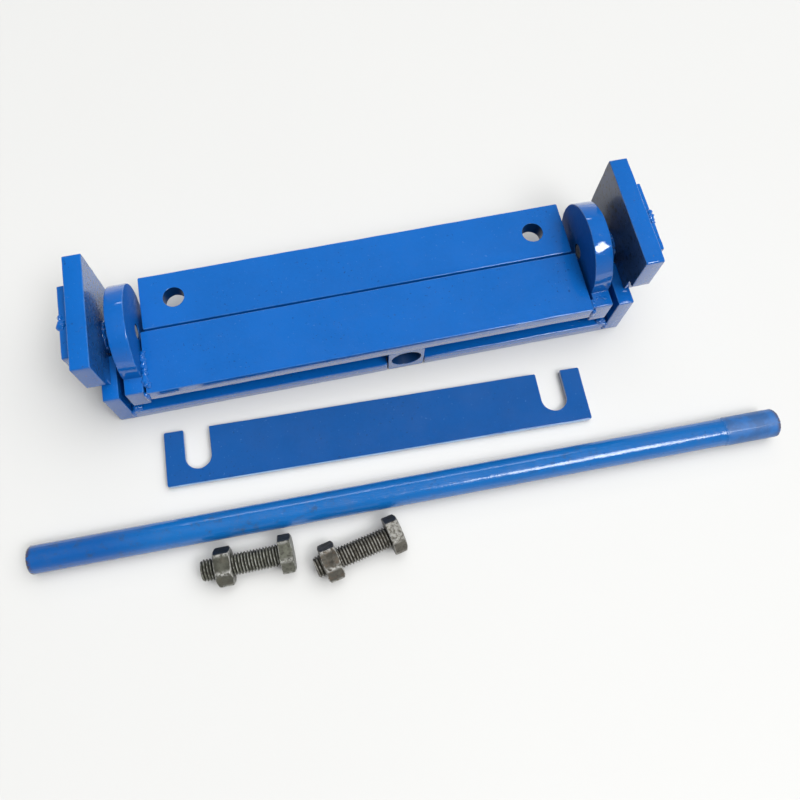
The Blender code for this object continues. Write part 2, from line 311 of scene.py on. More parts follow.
def plate_mesh(loops, low, high, edge, seed, facing="z"):
    """Plate with holes: a rim for each loop, and a flat face above and below between them."""
    verts, wear_and_painted_light, faces, starts, base = [], [], [], [], 0
    for k, loop in enumerate(loops):
        shell, wear = rim(loop, low, high, edge if k == 0 else min(edge, 0.25), seed + 7 * k)
        rows, count = shell.shape[:2]
        verts.append(shell.reshape(-1, 3))
        if k:
            # Hole walls are marked -1, where the materials paint shade.
            wear[4 * count:6 * count] = -1.0
        wear_and_painted_light.append(wear)
        faces.append(grid_faces(rows, count) + base)
        starts.append((base, base + (rows - 1) * count))
        base += rows * count
    verts = np.concatenate(verts)
    quads = np.concatenate(faces)
    counts = [len(loop) for loop in loops]
    flats = []
    for row, up in ((0, False), (1, True)):
        firsts = [start[row] for start in starts]
        flats += [*flat_face([verts[s:s + n, :2] for s, n in zip(firsts, counts)], firsts, up)]
    smooth = np.r_[np.ones(len(quads)), np.zeros(len(flats))]
    return verts[:, FACING[facing]], [*quads, *flats], smooth, np.concatenate(wear_and_painted_light)


def hole(cx, cy, radius, count=72):
    """Round hole, run clockwise so that its wall faces into it."""
    return arc(cx, cy, radius, 360, 360 / count, count)


def noise(tree, scale, detail=3.0, rough=0.55, offset=(0, 0, 0)):
    """Noise on object coordinates; scale is in waves per metre."""
    coord = tree.nodes.new("ShaderNodeTexCoord")
    moved = tree.nodes.new("ShaderNodeMapping")
    moved.inputs["Location"].default_value = offset
    cloud = tree.nodes.new("ShaderNodeTexNoise")
    cloud.inputs["Scale"].default_value = scale
    cloud.inputs["Detail"].default_value = detail
    cloud.inputs["Roughness"].default_value = rough
    tree.links.new(coord.outputs["Object"], moved.inputs["Vector"])
    tree.links.new(moved.outputs["Vector"], cloud.inputs["Vector"])
    return cloud.outputs["Fac"]


def between(tree, value, low, high, to_low=0.0, to_high=1.0):
    """A value remapped from low..high to to_low..to_high, and held there outside it."""
    node = tree.nodes.new("ShaderNodeMapRange")
    node.interpolation_type = "SMOOTHSTEP"
    for socket, number in (("From Min", low), ("From Max", high), ("To Min", to_low), ("To Max", to_high)):
        node.inputs[socket].default_value = number
    tree.links.new(value, node.inputs["Value"])
    return node.outputs["Result"]


def tint(tree, colour, share, over):
    """Mixes a plain colour over another by a share."""
    node = tree.nodes.new("ShaderNodeMix")
    node.data_type = "RGBA"
    for socket, value in ((node.inputs[6], colour), (node.inputs[7], over), (node.inputs[0], share)):
        if isinstance(value, (tuple, float)):
            socket.default_value = (*value, 1.0) if isinstance(value, tuple) else value
        else:
            tree.links.new(value, socket)
    return node.outputs[2]


def times(tree, a, b):
    """Product of two values at each point; either may be a plain number."""
    node = tree.nodes.new("ShaderNodeMath")
    node.operation = "MULTIPLY"
    for socket, value in zip(node.inputs, (a, b)):
        if isinstance(value, float):
            socket.default_value = value
        else:
            tree.links.new(value, socket)
    return node.outputs[0]


def bumps(tree, heights, shader):
    """Stacks bump nodes: each entry is (height, depth in metres)."""
    normal = None
    for height, depth in heights:
        node = tree.nodes.new("ShaderNodeBump")
        node.inputs["Strength"].default_value = 1.0
        node.inputs["Distance"].default_value = depth
        tree.links.new(height, node.inputs["Height"])
        if normal is not None:
            tree.links.new(normal, node.inputs["Normal"])
        normal = node.outputs["Normal"]
    tree.links.new(normal, shader.inputs["Normal"])


def shade(colour, factor):
    """A colour made darker or lighter by a factor."""
    return tuple(min(1.0, c * factor) for c in colour)


def wear_and_painted_light_of(tree):
    """The piece's own attribute of wear and painted light: 1 along its edges, 0 on its flats, -1 inside holes
    and thread roots, which are painted dark as painted shade, and raised on the right bolt head's top flat
    for a painted highlight.
    """
    node = tree.nodes.new("ShaderNodeAttribute")
    node.attribute_name = "wear_and_painted_light"
    return node.outputs["Fac"]


def larger(tree, a, b):
    """The larger of two values at each point."""
    node = tree.nodes.new("ShaderNodeMath")
    node.operation = "MAXIMUM"
    tree.links.new(a, node.inputs[0])
    tree.links.new(b, node.inputs[1])
    return node.outputs[0]


def sideways(tree):
    """1 on faces that look along X either way, and 0 on the others."""
    face = tree.nodes.new("ShaderNodeNewGeometry")
    along = tree.nodes.new("ShaderNodeVectorMath")
    along.operation = "DOT_PRODUCT"
    along.inputs[1].default_value = (1.0, 0.0, 0.0)
    tree.links.new(face.outputs["True Normal"], along.inputs[0])
    size = tree.nodes.new("ShaderNodeMath")
    size.operation = "ABSOLUTE"
    tree.links.new(along.outputs["Value"], size.inputs[0])
    return between(tree, size.outputs[0], 0.8, 0.95)


def enamel(name, colour=ENAMEL, gloss=(0.05, 0.10), pits=0.5, peel=1.0, edge_light=0.5, seed=0.0, rust=0.0,
           dry=0.0, coat=1.0):
    """Sprayed enamel: cloudy depth of colour, fine mottle, pinholes and dust, thin pale edges and orange
    peel. Inside holes it is painted dark, as painted shade, and made matt; it is as dry as asked for on faces
    that look sideways."""
    mat = bpy.data.materials.new(name)
    mat.use_nodes = True
    tree = mat.node_tree
    shader = tree.nodes["Principled BSDF"]
    shader.inputs["IOR"].default_value = 1.6
    shader.inputs["Coat Roughness"].default_value = 0.06
    # inside is high on hole walls: it paints shade there and makes them matt.
    inside = between(tree, wear_and_painted_light_of(tree), -1.0, -0.3, 0.85, 0.0)
    at = (seed, seed * 0.7, seed * 0.3)
    cloud = between(tree, noise(tree, 22.0, 3.0, 0.6, at), 0.32, 0.68)
    paint = tint(tree, shade(colour, 0.95), cloud, shade(colour, 1.04))
    mottle = between(tree, noise(tree, 420.0, 2.0, 0.5, at), 0.3, 0.7, 0.0, 0.22)
    paint = tint(tree, paint, mottle, shade(colour, 1.16))
    patch = between(tree, noise(tree, 34.0, 2.0, 0.5, (seed + 3, 1, 2)), 0.42, 0.66)
    pin = between(tree, noise(tree, 520.0, 1.0, 0.4, (seed + 5, 2, 1)), 0.685, 0.73)
    paint = tint(tree, paint, times(tree, times(tree, pin, patch), pits), (0.003, 0.022, 0.075))
    dust = between(tree, noise(tree, 610.0, 1.0, 0.4, (seed + 9, 4, 6)), 0.74, 0.78, 0.0, 0.25)
    paint = tint(tree, paint, dust, (0.09, 0.23, 0.50))
    ragged = between(tree, noise(tree, 260.0, 3.0, 0.7, (seed + 1, 8, 3)), 0.35, 0.62)
    edge = times(tree, times(tree, wear_and_painted_light_of(tree), ragged), edge_light)
    paint = tint(tree, paint, edge, (0.06, 0.19, 0.46))
    if rust:
        stain = between(tree, noise(tree, 120.0, 5.0, 0.7, (seed + 2, 3, 7)), 0.56, 0.70, 0.0, rust)
        paint = tint(tree, paint, stain, (0.085, 0.075, 0.085))
    # Painted shade: hole walls get a much darker copy of the colour.
    paint = tint(tree, paint, inside, shade(colour, 0.16))
    tree.links.new(paint, shader.inputs["Base Color"])
    rough = between(tree, noise(tree, 60.0, 4.0, 0.6, (seed + 4, 0, 5)), 0.3, 0.7, *gloss)
    matt = inside
    if dry:
        matt = larger(tree, inside, times(tree, sideways(tree), dry))
    tree.links.new(larger(tree, rough, times(tree, matt, DRY_ROUGH)), shader.inputs["Roughness"])
    tree.links.new(between(tree, matt, 0.0, 1.0, coat, 0.0), shader.inputs["Coat Weight"])
    tree.links.new(between(tree, matt, 0.9, 1.0, 0.5, 0.12), shader.inputs["Specular IOR Level"])
    orange = noise(tree, 190.0, 2.0, 0.5, (seed + 6, 1, 1))
    fine = noise(tree, 900.0, 2.0, 0.5, (seed + 7, 2, 1))
    bumps(tree, [(orange, 0.00005 * peel), (fine, 0.000012 * peel), (pin, -0.00008 * pits)], shader)
    return mat


low, high = span("bed_plate")
bed_loop = rectangle(low[0], low[1], high[0], high[1], 1.2)
bed_holes = [hole(side * BOLT_HOLE_X, BOLT_HOLE_Y, BOLT_HOLE_R) for side in (-1, 1)]
new_piece("painted_bed_plate", *plate_mesh([bed_loop, *bed_holes], low[2], high[2], BED_EDGE, 11),
          enamel("bed_enamel", seed=1.0, pits=0.45), "base", "blue_enamel", ["bed_plate"])


# ---- web under the bed -----------------------------------------------------------------------------------
# A flat strip on edge, welded along the base and under the front of the bed plate to hold it up. It sits in
# the leaf's shade, and its enamel is painted darker there as painted shade.
low, high = span("bed_web")
web_loop = rectangle(low[0], low[1], high[0], high[1], 0.7)
# Painted shade: a darker copy of the body's enamel.
new_piece("painted_bed_web", *plate_mesh([web_loop], low[2], high[2], 0.4, 21),
          enamel("web_enamel", shade(ENAMEL, 0.85), (0.08, 0.14), seed=2.0), "base", "blue_enamel",
          ["bed_web"])


# ---- base plate ------------------------------------------------------------------------------------------
# The plate that everything stands on: a heavy flat with four arms that reach out past the hinge plates, and
# a notch in its front edge that the handle socket closes into. Flame cut, then ground.
BASE_HALF = 148.0
ARM_FRONT_BACK = -17.0
ARM_REAR_FRONT = 16.0
NOTCH_SIDE = 0.6

low, high = span("base_plate")
socket_low, socket_high = span("handle_socket")
notch_l, notch_r = socket_low[0] - NOTCH_SIDE, socket_high[0] + NOTCH_SIDE
notch_back = socket_high[1] + NOTCH_SIDE
front_arm = span("foot_right")[0][0] - 0.3
base_corners = [
    (-front_arm, low[1], 1.0), (notch_l, low[1], 0.9), (notch_l, notch_back, 1.2), (notch_r, notch_back, 1.2),
    (notch_r, low[1], 0.9), (front_arm, low[1], 1.0), (front_arm, ARM_FRONT_BACK, 1.2),
    (BASE_HALF, ARM_FRONT_BACK, 2.0), (BASE_HALF, ARM_REAR_FRONT, 2.0), (high[0], ARM_REAR_FRONT, 1.2),
    (high[0], high[1], 1.2), (low[0], high[1], 1.2), (low[0], ARM_REAR_FRONT, 1.2),
    (-BASE_HALF, ARM_REAR_FRONT, 2.0), (-BASE_HALF, ARM_FRONT_BACK, 2.0), (-front_arm, ARM_FRONT_BACK, 1.2),
]
new_piece("painted_base_plate", *plate_mesh([outline(base_corners)], low[2], high[2], 0.7, 31),
          enamel("base_enamel", seed=3.0, pits=0.8), "base", "blue_enamel", ["base_plate"])


# ---- front feet ------------------------------------------------------------------------------------------
# A short block of flat bar stood on its end at each front corner, welded to the end of the base and to the
# inner face of the side plate. The left one is duller.
FOOT_COAT = {"left": 0.25, "right": 0.8}
for side, number in (("left", 1), ("right", 2)):
    low, high = span("foot_" + side)
    foot_loop = rectangle(low[1], low[2], high[1], high[2], 1.0)
    new_piece("painted_foot_" + side, *plate_mesh([foot_loop], low[0], high[0], 0.7, 40 + number, "x"),
              enamel("foot_enamel_" + side, seed=4.0 + number, coat=FOOT_COAT[side]), "base", "blue_enamel",
              ["foot_" + side])


# ---- side plates -----------------------------------------------------------------------------------------
# The upright plates at each end that carry the hinge pins: 12 mm plate with a broad head, a neck that rests
# on the foot, and a leg down to the table behind it. Their inner faces keep the pits of the mill scale.
PIN_Z = 42.0
LIP = 12.0
NECK_FRONT = -34.0
PIN_HOLE_R = 5.3
SIDE_DRY = {"left": 0.45, "right": 0.8}
SIDE_COAT = {"left": 0.1, "right": 0.9}
# Painted shade on the broad faces: how much and what colour, much stronger on the right; the share also
# darkens the pits.
SIDE_SHADE_AND_PITS = {"left": 0.30, "right": 0.85}
SIDE_SHADE_TINT = {"left": (0.050, 0.100, 0.170), "right": (0.028, 0.046, 0.076)}


def side_enamel(side, seed):
    """Enamel of a side plate: its broad faces are dry, painted darker grey-blue in patches as painted shade,
    much darker on the right, and peppered with pits of mill scale.
    """
    mat = enamel("side_enamel_" + side, seed=seed, pits=0.95, peel=0.6, dry=SIDE_DRY[side],
                 coat=SIDE_COAT[side])
    tree = mat.node_tree
    shader = tree.nodes["Principled BSDF"]
    paint = shader.inputs["Base Color"].links[0].from_socket
    broad, dark_share = sideways(tree), SIDE_SHADE_AND_PITS[side]
    # Painted shade: the broad faces are tinted darker in patches.
    thin = between(tree, noise(tree, 75.0, 4.0, 0.65, (seed, 2, 2)), 0.25, 0.55, dark_share - 0.2, dark_share)
    paint = tint(tree, paint, times(tree, broad, thin), SIDE_SHADE_TINT[side])
    pit = between(tree, noise(tree, 360.0, 3.0, 0.65, (seed, 7, 4)), 0.55, 0.63, 0.0, dark_share)
    paint = tint(tree, paint, times(tree, broad, pit), (0.004, 0.004, 0.005))
    tree.links.new(paint, shader.inputs["Base Color"])
    return mat


for side, number in (("left", 1), ("right", 2)):
    low, high = span("side_plate_" + side)
    foot_top, foot_back = span("foot_" + side)[1][2] + 0.3, span("foot_" + side)[1][1] + 0.3
    side_loop = outline([
        (low[1], high[2], 1.3), (low[1], PIN_Z + LIP, 1.1), (NECK_FRONT, PIN_Z + LIP, 1.1),
        (NECK_FRONT, foot_top, 0.9), (foot_back, foot_top, 0.9), (foot_back, 0.0, 1.1), (high[1], 0.0, 1.2),
        (high[1], high[2], 1.3)])
    pin_hole = hole(0, PIN_Z, PIN_HOLE_R, 48)
    new_piece("painted_side_plate_" + side,
              *plate_mesh([side_loop, pin_hole], low[0], high[0], 0.7, 50 + number, "x"),
              side_enamel(side, 6.0 + number), "base", "blue_enamel", ["side_plate_" + side])


# ---- pin pads --------------------------------------------------------------------------------------------
# A thinner square pad welded over each side plate on the outside, to thicken the bearing of the pin.
for side, number in (("left", 1), ("right", 2)):
    low, high = span("pin_pad_" + side)
    pad_loop = rectangle(low[1], low[2], high[1], high[2], 1.0)
    new_piece("painted_pad_" + side,
              *plate_mesh([pad_loop, pin_hole], low[0], high[0], 0.8, 60 + number, "x"),
              enamel("pad_enamel_" + side, seed=8.0 + number, pits=0.7), "base", "blue_enamel",
              ["pin_pad_" + side])


# ---- hinge pins and collars ------------------------------------------------------------------------------
# A turned 10 mm steel pin at each end passes through the pad, the side plate and a short collar, and carries
# the hinge plate. The collar keeps the two plates apart.
def turned(profile, count, facing="x"):
    """Surface of revolution: each (place along the axis, radius) of the profile carried round a full turn."""
    a = np.linspace(0, 2 * np.pi, count, endpoint=False)
    along, radius = np.asarray(profile, float).T
    u = radius[:, None] * np.cos(a)
    v = radius[:, None] * np.sin(a)
    w = np.repeat(along[:, None], count, 1)
    return np.stack([u, v, w], -1)[..., FACING[facing]].reshape(-1, 3)


def capped_faces(rows, columns):
    """Quads of a closed grid, with one flat face across its first row and one across its last."""
    first = np.arange(columns)
    return [*grid_faces(rows, columns), first[::-1], (rows - 1) * columns + first]


def ring_faces(rows, columns):
    """Quads of a closed grid whose last row joins its first, so that it runs on through the hole."""
    first, last = np.arange(columns), (rows - 1) * columns
    after = (first + 1) % columns
    seam_quads = np.stack([last + first, last + after, after, first], -1)
    return np.concatenate([grid_faces(rows, columns), seam_quads])


def coordinate(tree, kind, axis):
    """One axis of a piece's own place (kind "Object") or of the way it faces (kind "Normal")."""
    place = tree.nodes.new("ShaderNodeTexCoord")
    axes = tree.nodes.new("ShaderNodeSeparateXYZ")
    tree.links.new(place.outputs[kind], axes.inputs[0])
    return axes.outputs[axis]


def steel(name, colour, rough=(0.32, 0.5), metal=0.15, grime=0.5, seed=0.0, crest=(0.5, 0.5, 0.48), rust=0.0,
          crest_share=0.8, back_shade=0.0):
    """Bare steel: uneven oxide, oil and grime in patches, bright where it has been rubbed and where a
    highlight is painted, fine pitting, thread roots painted near-black as painted shade, and painted shade on
    the faces that look back along +Y."""
    mat = bpy.data.materials.new(name)
    mat.use_nodes = True
    tree = mat.node_tree
    shader = tree.nodes["Principled BSDF"]
    shader.inputs["Metallic"].default_value = metal
    shader.inputs["Specular IOR Level"].default_value = 0.25
    cloud = between(tree, noise(tree, 180.0, 5.0, 0.65, (seed, 1, 2)), 0.35, 0.65)
    skin = tint(tree, shade(colour, 0.75), cloud, shade(colour, 1.3))
    dark_share = between(tree, noise(tree, 420.0, 4.0, 0.7, (seed + 2, 5, 1)), 0.50, 0.64, 0.0, grime)
    skin = tint(tree, skin, dark_share, (0.03, 0.026, 0.022))
    if rust:
        patchy_share = between(tree, noise(tree, 260.0, 5.0, 0.7, (seed + 7, 2, 8)), 0.48, 0.66, 0.0, rust)
        skin = tint(tree, skin, patchy_share, (0.16, 0.085, 0.04))
    rubbed = between(tree, noise(tree, 500.0, 3.0, 0.6, (seed + 4, 3, 3)), 0.36, 0.6)
    # Rubbed crests and corners are lightened, and the right bolt head's top flat as a painted highlight.
    skin = tint(tree, skin, times(tree, times(tree, wear_and_painted_light_of(tree), rubbed), crest_share), crest)
    # Painted shade: thread roots, marked -1, are tinted near-black.
    skin = tint(tree, skin, between(tree, wear_and_painted_light_of(tree), -1.0, -0.1, 0.92, 0.0), (0.004, 0.004, 0.004))
    # Painted shade: faces that look back along +Y are tinted near-black.
    if back_shade:
        back_shade_mask = between(tree, coordinate(tree, "Normal", "Y"), 0.35, 0.85, 0.0, back_shade)
        skin = tint(tree, skin, back_shade_mask, (0.008, 0.010, 0.013))
    tree.links.new(skin, shader.inputs["Base Color"])
    tree.links.new(between(tree, cloud, 0.0, 1.0, *rough), shader.inputs["Roughness"])
    pit = noise(tree, 700.0, 4.0, 0.6, (seed + 6, 1, 9))
    bumps(tree, [(pit, 0.00009)], shader)
    return mat


PIN_CHAMFER = 0.6
PIN_SIDES, COLLAR_SIDES = 48, 56
for side, number in (("left", 1), ("right", 2)):
    low, high = span("hinge_pin_" + side)
    radius = (high[2] - low[2]) / 2
    ends = [(high[0], 0.01), (high[0], radius - PIN_CHAMFER), (high[0] - PIN_CHAMFER, radius)]
    pin_profile = ends + [(low[0] + PIN_CHAMFER, radius), (low[0], radius - PIN_CHAMFER), (low[0], 0.01)]
    pin = turned(pin_profile[::-1], PIN_SIDES) + [0, 0, PIN_Z]
    faces = capped_faces(6, PIN_SIDES)
    wear_and_painted_light = np.repeat([0, 1, 1, 1, 1, 0], PIN_SIDES)
    new_piece("turned_pin_" + side, pin, faces, np.zeros(len(faces)), wear_and_painted_light,
              steel("pin_steel_" + side, (0.30, 0.30, 0.30), seed=float(number)), "base", "pin_steel",
              ["hinge_pin_" + side])

    low, high = span("pin_collar_" + side)
    outer = (high[2] - low[2]) / 2
    wall = [(low[0], PIN_HOLE_R), (low[0], outer - 0.5), (low[0] + 0.5, outer)]
    wall += [(high[0] - 0.5, outer), (high[0], outer - 0.5), (high[0], PIN_HOLE_R)]
    collar = turned(wall, COLLAR_SIDES) + [0, 0, PIN_Z]
    faces = ring_faces(6, COLLAR_SIDES)
    wear_and_painted_light = np.repeat([0, 1, 1, 1, 1, 0], COLLAR_SIDES)
    new_piece("painted_collar_" + side, collar, faces, np.zeros(len(faces)), wear_and_painted_light,
              enamel("collar_enamel_" + side, shade(ENAMEL, 0.8), (0.25, 0.4), seed=12.0 + number, rust=0.5),
              "base", "blue_enamel", ["pin_collar_" + side])


# ---- bending leaf ----------------------------------------------------------------------------------------
# The half that swings up: 12 mm flat bar, its back edge on the bend line.
low, high = span("leaf_plate")
leaf_loop = outline([(low[0], low[1], 1.3), (high[0], low[1], 1.3), (high[0], high[1], 1.0),
                     (low[0], high[1], 1.0)])
new_piece("painted_leaf_plate", *plate_mesh([leaf_loop], low[2], high[2], 0.6, 71),
          enamel("leaf_enamel", seed=16.0, pits=0.5), "leaf", "blue_enamel", ["leaf_plate"])


# ---- hinge plates ----------------------------------------------------------------------------------------
# A plate across each end of the leaf, with a round head centred on the pin and a straight tail along the
# leaf's end. Cut round with a flame, ground, and welded to the leaf. The left one is duller.
HEAD_R, HEAD_DEPTH = 32.6, 21.7
HINGE_COAT = {"left": 0.45, "right": 1.0}
for side, number in (("left", 1), ("right", 2)):
    low, high = span("hinge_plate_" + side)
    depth = PIN_Z - HEAD_DEPTH
    under = math.degrees(math.asin(HEAD_DEPTH / HEAD_R))
    head = arc(0, PIN_Z, HEAD_R, 180 + under, 360 + 179, 150)
    hinge_loop = outline([head, (-HEAD_R - 0.2, PIN_Z, 0.5), (low[1], PIN_Z, 1.0), (low[1], depth, 1.0)])
    new_piece("painted_hinge_plate_" + side,
              *plate_mesh([hinge_loop, pin_hole], low[0], high[0], 0.7, 80 + number, "x"),
              enamel("hinge_enamel_" + side, seed=18.0 + number, peel=2.6, pits=0.4, dry=1.0,
                     coat=HINGE_COAT[side]), "leaf", "blue_enamel", ["hinge_plate_" + side])


# ---- handle socket ---------------------------------------------------------------------------------------
# A block bored for the lever bar, welded under the leaf a little right of the middle. Its back comes up
# against the base when the leaf is down.
BORE_R = 10.3
BORE_Z = 16.2
low, high = span("handle_socket")
socket_x = (low[0] + high[0]) / 2
socket_loop = outline([(low[2], low[0], 2.2), (high[2], low[0], 2.6), (high[2], high[0], 2.6),
                       (low[2], high[0], 2.2)])
socket_bore = hole(BORE_Z, socket_x, BORE_R, 96)
new_piece("painted_socket", *plate_mesh([socket_loop, socket_bore], low[1], high[1], 0.8, 91, "y"),
          enamel("socket_enamel", seed=22.0, pits=0.5), "leaf", "blue_enamel", ["handle_socket"])


# ---- welds -----------------------------------------------------------------------------------------------
# Short beads laid by hand: round-backed, rippled and lumpy, painted over with everything else. Those on the
# leaf swing with it, and the rest hold the base together.
def weld_bead(path, radius, seed, columns=22, spacing=0.4, ripple=1.9):
    """Tube round a path: at each place its radius is the bead's own, times a dome that closes both ends,
    times one plus a ripple along the path and a few random waves along and around it."""
    path = np.asarray(path, float)
    leg = np.r_[0, np.cumsum(np.linalg.norm(np.diff(path, axis=0), axis=1))]
    s = np.linspace(0, leg[-1], max(12, int(leg[-1] / spacing)))
    centre = np.stack([np.interp(s, leg, path[:, k]) for k in range(3)], -1)
    ahead = np.gradient(centre, axis=0)
    ahead /= np.linalg.norm(ahead, axis=1)[:, None]
    aside = np.cross(ahead, [0.31, 0.27, 0.91])
    aside /= np.linalg.norm(aside, axis=1)[:, None]
    upward = np.cross(aside, ahead)
    rng = np.random.default_rng(seed)
    a = np.linspace(0, 2 * np.pi, columns, endpoint=False)
    near_end = np.minimum(s, leg[-1] - s) / radius
    dome = np.sqrt(np.clip(1 - np.clip(1 - near_end, 0, 1) ** 2, 1e-6, 1))
    lumps = 0.03 * np.sin(2 * np.pi * s / ripple)[:, None] + np.zeros(columns)
    for _ in range(7):
        along, around, phase = rng.uniform(0.06, 0.42), rng.integers(0, 4), rng.uniform(0, 6.28)
        lumps = lumps + 0.085 * np.sin(2 * np.pi * along * s[:, None] + around * a[None] + phase)
    r = radius * dome[:, None] * (1 + lumps)
    shell = centre[:, None] + r[..., None] * (np.cos(a)[None, :, None] * aside[:, None]
                                              + np.sin(a)[None, :, None] * upward[:, None])
    return shell.reshape(-1, 3), capped_faces(len(s), columns)


def weld_run(name, beads, body, mat, seed):
    """One piece from several beads, each (radius, path)."""
    verts, faces, base = [], [], 0
    for k, (radius, path) in enumerate(beads):
        shell, quads = weld_bead(path, radius, seed + k)
        verts.append(shell)
        faces += [np.asarray(q) + base for q in quads]
        base += len(shell)
    verts = np.concatenate(verts)
    new_piece(name, verts, faces, np.ones(len(faces)), np.zeros(len(verts)), mat, body, "blue_enamel")


leaf_low, leaf_high = span("leaf_plate")
weld_enamel = enamel("weld_enamel", gloss=(0.05, 0.09), pits=0.3, peel=1.2, edge_light=0.0, seed=26.0)
seam = (leaf_high[0] + span("hinge_plate_right")[0][0]) / 2
top, under, nose = leaf_high[2], leaf_low[2], leaf_low[1]
leaf_beads = [
    (2.3, [(-seam + 0.6, -14, top - 0.9), (-seam + 1.0, -24, top - 0.6), (-seam + 1.2, -40.5, top - 0.7)]),
    (2.3, [(-seam + 1.0, -36.5, top - 0.6), (-seam + 3.4, -40.0, top - 0.5),
           (-seam + 4.2, -41.5, top - 0.9)]),
    (1.7, [(-seam, nose + 0.4, top - 1.5), (-seam, nose + 0.4, under + 1)]),
    (1.3, [(seam, -37, top - 0.6), (seam, nose + 1.2, top - 0.9)]),
    (1.4, [(seam + 2.5, -36.5, top - 0.9), (seam + 10.5, -38.0, top - 0.9)]),
    (1.5, [(seam, nose + 0.6, top - 2.5), (seam, nose + 0.6, under + 1)]),
]
for side in (-1, 1):
    leaf_beads.append((2.4, [(side * (seam - 0.6), nose + 4, under), (side * (seam - 0.6), -6, under)]))
for edge in (socket_low[0], socket_high[0]):
    leaf_beads.append((2.0, [(edge, socket_low[1] + 3, under - 0.2),
                             (edge, socket_high[1] - 3, under - 0.2)]))
weld_run("leaf_welds", leaf_beads, "leaf", weld_enamel, 200)

base_top = span("base_plate")[1][2]
web_low, web_high = span("bed_web")
foot_in, foot_out = (span("foot_right")[k][0] for k in (0, 1))
foot_front, foot_top = span("foot_right")[0][1], span("foot_right")[1][2]
RING_R = 9.2
ring_turn = np.radians(np.linspace(-20, 345, 60))
base_beads = []
for name, side in (("left", -1), ("right", 1)):
    side_in, side_out = sorted(abs(span("side_plate_" + name)[k][0]) for k in (0, 1))
    pad_low, pad_high = span("pin_pad_" + name)
    pad_out = max(abs(pad_low[0]), abs(pad_high[0]))
    base_beads += [
        (2.6, [(side * (foot_in - 0.6), foot_front + 3.2, base_top + 0.4),
               (side * (foot_in - 8), foot_front + 2.8, base_top - 0.2)]),
        (2.0, [(side * foot_in, foot_front + 6, base_top), (side * foot_in, -19, base_top)]),
        (1.7, [(side * (foot_in - 0.4), foot_front + 0.9, base_top - 0.5),
               (side * (foot_in - 0.4), foot_front + 0.9, 1.8)]),
        (3.4, [(side * (foot_out + 2.0), NECK_FRONT + 2.5, foot_top - 2.4),
               (side * (foot_out + 2.0), -15, foot_top - 2.4)]),
        (1.6, [(side * (side_in - 0.2), RING_R * math.cos(a), PIN_Z + RING_R * math.sin(a))
               for a in ring_turn]),
        (2.2, [(side * side_in, 17.5, base_top), (side * side_in, 26.5, base_top)]),
        (2.5, [(side * (pad_out - 1.5), -6.2, pad_high[2] - 1.1),
               (side * (pad_out - 1.2), 5.2, pad_high[2] - 1.1)]),
        (1.9, [(side * side_out, pad_low[1], pad_low[2] + 16),
               (side * side_out, pad_low[1], pad_high[2] - 9)]),
        (1.9, [(side * side_out, pad_high[1], pad_low[2] + 4),
               (side * side_out, pad_high[1], pad_high[2] - 9)]),
    ]
for middle in (-118, -62, -6, 62, 118):
    for face in (web_low[1], web_high[1]):
        base_beads.append((2.0, [(middle - 13, face, base_top), (middle + 13, face, base_top)]))
    base_beads.append((2.0, [(middle - 13, web_high[1], web_high[2]),
                             (middle + 13, web_high[1], web_high[2])]))
weld_run("base_welds", base_beads, "base", weld_enamel, 300)


# ---- clamp bar -------------------------------------------------------------------------------------------
# The loose bar that holds the sheet down: 6 mm strip with an open slot near each end, so that it slides
# under the bolt heads. Thinner, duller enamel than the body.
CLAMP_AT = (-5.4, -84.8)
CLAMP_TURN = -0.0327
CLAMP_SIZE = (289.7, 37.9, 6.0)
SLOT_X, SLOT_R, SLOT_DEPTH = 122.7, 8.7, 28.2
half_l, half_w = CLAMP_SIZE[0] / 2, CLAMP_SIZE[1] / 2
floor_y = half_w - SLOT_DEPTH + SLOT_R
clamp_run = [(-half_l, -half_w, 1.4), (half_l, -half_w, 1.4), (half_l, half_w, 1.4)]
for x in (SLOT_X, -SLOT_X):
    clamp_run += [(x + SLOT_R, half_w, 1.0), arc(x, floor_y, SLOT_R, 0, -180, 40), (x - SLOT_R, half_w, 1.0)]
clamp_run.append((-half_l, half_w, 1.4))
clamp, faces, smooth, wear_and_painted_light = plate_mesh([outline(clamp_run)], 0.0, CLAMP_SIZE[2], 0.6, 101)


def clamp_enamel():
    """Enamel of the clamp bar: its narrow front face is painted a paler blue in patches, as a painted
    reflection.
    """
    mat = enamel("clamp_enamel", (0.0015, 0.066, 0.262), (0.06, 0.12), seed=24.0, peel=0.8)
    tree = mat.node_tree
    shader = tree.nodes["Principled BSDF"]
    front = between(tree, coordinate(tree, "Normal", "Y"), -0.9, -0.6, 1.0, 0.0)
    patchy_share = between(tree, noise(tree, 60.0, 3.0, 0.6, (2, 5, 1)), 0.30, 0.62, 0.45, 0.85)
    paint = shader.inputs["Base Color"].links[0].from_socket
    # Painted reflection: the front face is tinted pale blue.
    paint = tint(tree, paint, times(tree, front, patchy_share), (0.21, 0.43, 0.74))
    tree.links.new(paint, shader.inputs["Base Color"])
    return mat


new_piece("painted_clamp_bar", set_down(clamp, CLAMP_TURN, *CLAMP_AT), faces, smooth, wear_and_painted_light, clamp_enamel(),
          "clamp_bar", "bar_enamel", ["clamp_bar"])


# ---- lever bar -------------------------------------------------------------------------------------------
# Round bar that slides into the socket. It hung from its right end to be sprayed, which left a thick collar
# of paint there. It is scuffed and stained from handling and rusty at the cut ends, and darker along its left
# end.
LEVER_AT = (7.9, -133.0)
LEVER_TURN = -0.0136
LEVER_R, LEVER_LENGTH, LEVER_CHAMFER = 9.5, 497.6, 1.3
SLEEVE, DARK_END = 37.0, 95.0


